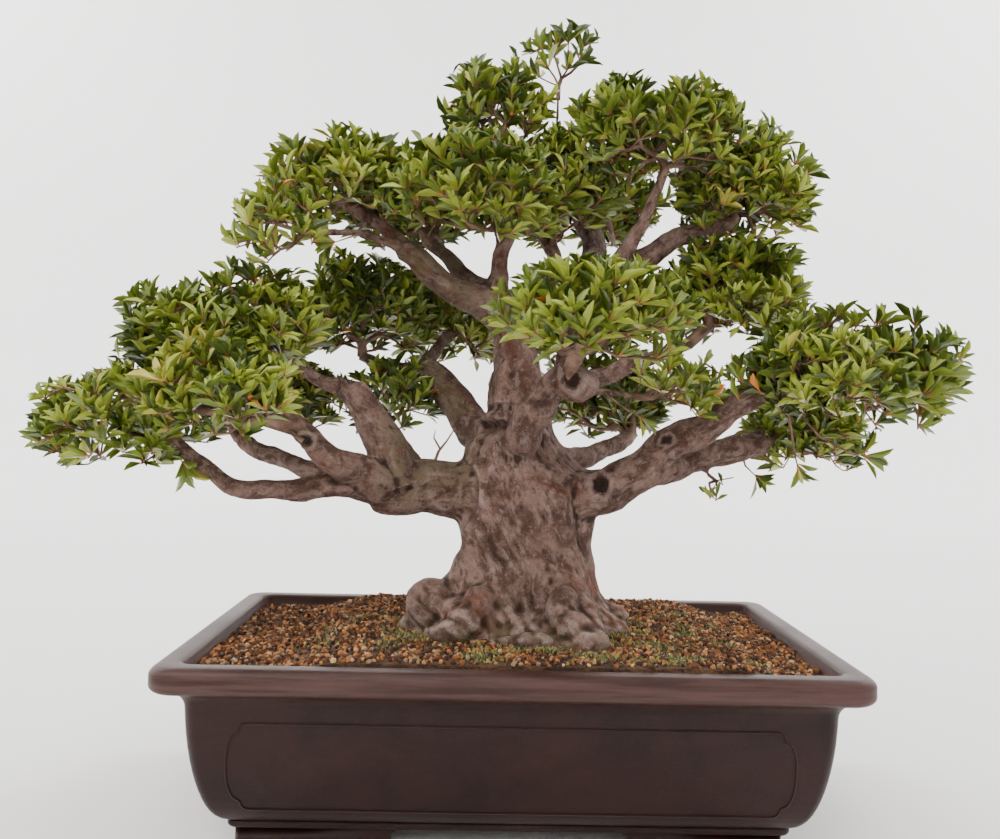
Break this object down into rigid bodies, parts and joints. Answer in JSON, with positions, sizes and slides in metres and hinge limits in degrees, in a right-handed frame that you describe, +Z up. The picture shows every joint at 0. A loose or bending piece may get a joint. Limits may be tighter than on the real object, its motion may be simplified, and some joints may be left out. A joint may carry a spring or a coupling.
{
  "type": "potted satsuki azalea bonsai",
  "caption": "Old satsuki azalea bonsai with a thick flared trunk, spreading boughs and leafy pads, in a footed rectangular dark stoneware pot.",
  "frame": {"origin": "middle of the whole plant and pot in plan, on the surface that the pot's feet stand on", "axes": "+Z up, +X to the viewer's right along the pot's long side, -Y towards the front of the tree"},
  "size_m": [0.6092, 0.4032, 0.5671],
  "materials": {
    "pot": "dark brown unglazed stoneware with a soft sheen",
    "soil": "loose brown and tan granules with moss",
    "bark": "matte grey-brown bark with a pink cast",
    "leaves": "mid green leaves with a slight gloss"
  },
  "bodies": {
    "root": {"apex_left_limb": "bark", "apex_left_pad": "leaves", "apex_shoot": "bark", "apex_sprig": "leaves", "back_bough": "bark", "back_inner_limb": "bark", "back_inner_pad": "leaves", "back_left_bough": "bark", "back_left_limb": "bark", "back_left_pad": "leaves", "back_pad": "leaves", "back_right_bough": "bark", "back_right_pad": "leaves", "centre_right_bough": "bark", "far_left_pad": "leaves", "front_bough": "bark", "front_pad": "leaves", "front_right_limb": "bark", "front_right_pad": "leaves", "leader": "bark", "left_back_limb": "bark", "left_back_pad": "leaves", "left_bough": "bark", "left_front_limb": "bark", "left_front_pad": "leaves", "left_inner_limb": "bark", "left_inner_pad": "leaves", "left_low_limb": "bark", "left_rising_bough": "bark", "left_upper_limb": "bark", "left_upper_pad": "leaves", "pot": "pot", "right_bough": "bark", "right_crest_limb": "bark", "right_crest_pad": "leaves", "right_low_limb": "bark", "right_low_pad": "leaves", "right_mid_pad": "leaves", "right_pad": "leaves", "soil": "soil", "trunk": "bark", "under_sprig": "leaves", "under_twig": "bark", "upper_back_limb": "bark", "upper_back_pad": "leaves", "upper_centre_bough": "bark", "upper_centre_pad": "leaves", "upper_inner_limb": "bark", "upper_inner_pad": "leaves", "upper_left_bough": "bark", "upper_left_limb": "bark", "upper_left_low_limb": "bark", "upper_left_low_pad": "leaves", "upper_left_pad": "leaves", "upper_right_bough": "bark", "upper_right_limb": "bark", "upper_right_pad": "leaves", "upper_stub_limb": "bark", "upper_stub_pad": "leaves"}
  },
  "joints": []
}
